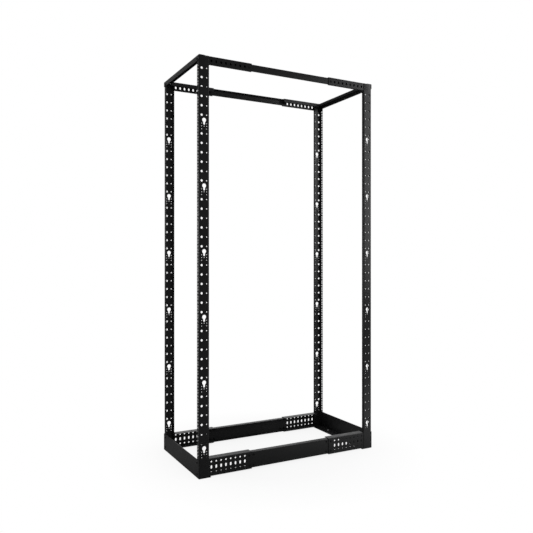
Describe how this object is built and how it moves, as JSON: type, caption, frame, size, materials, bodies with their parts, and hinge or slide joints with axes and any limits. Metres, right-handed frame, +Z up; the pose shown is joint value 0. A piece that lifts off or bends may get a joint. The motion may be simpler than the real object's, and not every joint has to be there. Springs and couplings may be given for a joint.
{
  "type": "four post open frame rack",
  "caption": "Free-standing open steel frame of punched sheet posts for 19 inch equipment, joined by base beams, head beams and telescoping side rails.",
  "frame": {"origin": "on the floor, midway between the four posts", "axes": "+X to the right of someone who faces the front, +Y from the front to the rear, +Z up"},
  "size_m": [0.508, 1.022, 2.0066],
  "materials": {
    "black_powder_coat": "fine textured semigloss black powder coat on steel"
  },
  "bodies": {
    "root": {"post_front_right": "black_powder_coat", "post_front_left": "black_powder_coat", "post_rear_right": "black_powder_coat", "post_rear_left": "black_powder_coat", "base_end_front": "black_powder_coat", "base_end_rear": "black_powder_coat", "top_end_front": "black_powder_coat", "top_end_rear": "black_powder_coat", "base_sleeve_front_right": "black_powder_coat", "base_sleeve_front_left": "black_powder_coat", "base_sleeve_rear_right": "black_powder_coat", "base_sleeve_rear_left": "black_powder_coat", "top_sleeve_front_right": "black_powder_coat", "top_sleeve_front_left": "black_powder_coat", "top_sleeve_rear_right": "black_powder_coat", "top_sleeve_rear_left": "black_powder_coat", "base_channel_right": "black_powder_coat", "base_channel_left": "black_powder_coat", "top_channel_right": "black_powder_coat", "top_channel_left": "black_powder_coat"}
  },
  "joints": []
}
